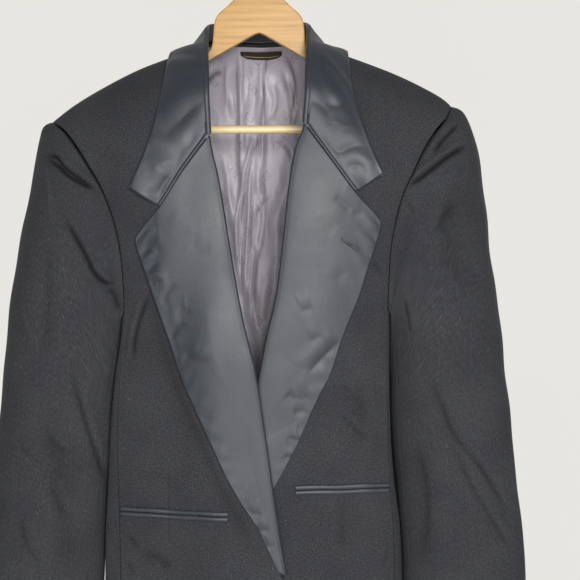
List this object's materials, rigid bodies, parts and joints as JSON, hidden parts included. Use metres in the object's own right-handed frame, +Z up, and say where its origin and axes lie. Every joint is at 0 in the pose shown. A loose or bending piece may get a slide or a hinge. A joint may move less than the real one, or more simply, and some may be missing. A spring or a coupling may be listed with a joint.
{
  "type": "tuxedo jacket on a wooden hanger",
  "caption": "Black evening jacket with satin notch lapels and jetted pockets, worn open on a flat pale wooden hanger with a trouser bar.",
  "frame": {"origin": "the highest point inside the hanger's hook, where it rests on a rail", "axes": "+Z up; -Y the way the jacket's front faces; +X towards the wearer's left arm"},
  "size_m": [0.6284, 0.1772, 0.8941],
  "materials": {
    "black_wool": "matt black wool",
    "black_satin": "black satin with a grey sheen",
    "mauve_lining": "mauve grey lining with a soft shine",
    "label_cloth": "bare black woven label",
    "pale_wood": "varnished pale wood",
    "bar_wood": "pale turned wood",
    "hook_steel": "bright plated wire"
  },
  "bodies": {
    "root": {"front_right": "black_wool", "front_left": "black_wool", "side_right": "black_wool", "side_left": "black_wool", "back_right": "black_wool", "back_left": "black_wool", "sleeve_top_right": "black_wool", "sleeve_under_right": "black_wool", "sleeve_top_left": "black_wool", "sleeve_under_left": "black_wool", "lapel_right": "black_satin", "lapel_left": "black_satin", "collar": "black_satin", "jet_upper_right": "black_satin", "jet_lower_right": "black_satin", "jet_upper_left": "black_satin", "jet_lower_left": "black_satin", "front_button": "black_satin", "back_lining": "mauve_lining", "neck_label": "label_cloth", "hanger_body": "pale_wood", "hanger_bar": "bar_wood", "hanger_hook": "hook_steel"}
  },
  "joints": []
}
